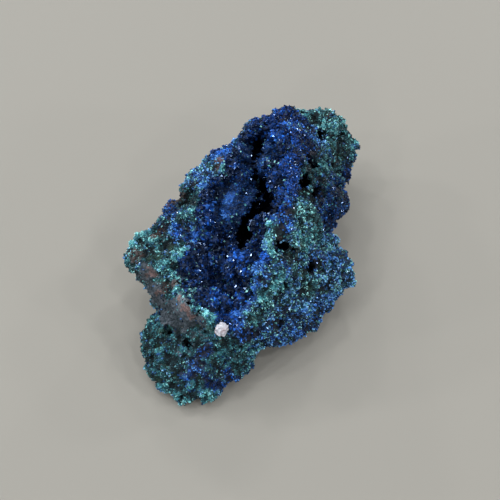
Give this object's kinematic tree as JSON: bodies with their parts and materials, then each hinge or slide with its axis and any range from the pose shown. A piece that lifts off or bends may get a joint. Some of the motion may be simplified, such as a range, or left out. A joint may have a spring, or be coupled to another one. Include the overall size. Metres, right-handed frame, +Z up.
{
  "type": "azurite and malachite mineral specimen",
  "caption": "Small rough lump of copper ore with a green crust and an open hollow lined with dark blue crystals; rests on a flat underside.",
  "frame": {"origin": "middle of the bounding box at the plane that the specimen rests on", "axes": "+Z up, out of the hollow; -Y towards the foot lobe, the long way of the specimen; +X towards the steep right flank behind the ridge"},
  "size_m": [0.036, 0.0476, 0.0201],
  "materials": {
    "green_crusted_ore": "rough granular malachite over red-brown rock, with blue azurite grains",
    "azurite": "dark blue crystals with glossy flat faces",
    "white_mineral": "pinkish white, slightly translucent grain"
  },
  "bodies": {
    "root": {"ore": "green_crusted_ore", "azurite_crust": "azurite", "white_grain": "white_mineral"}
  },
  "joints": []
}
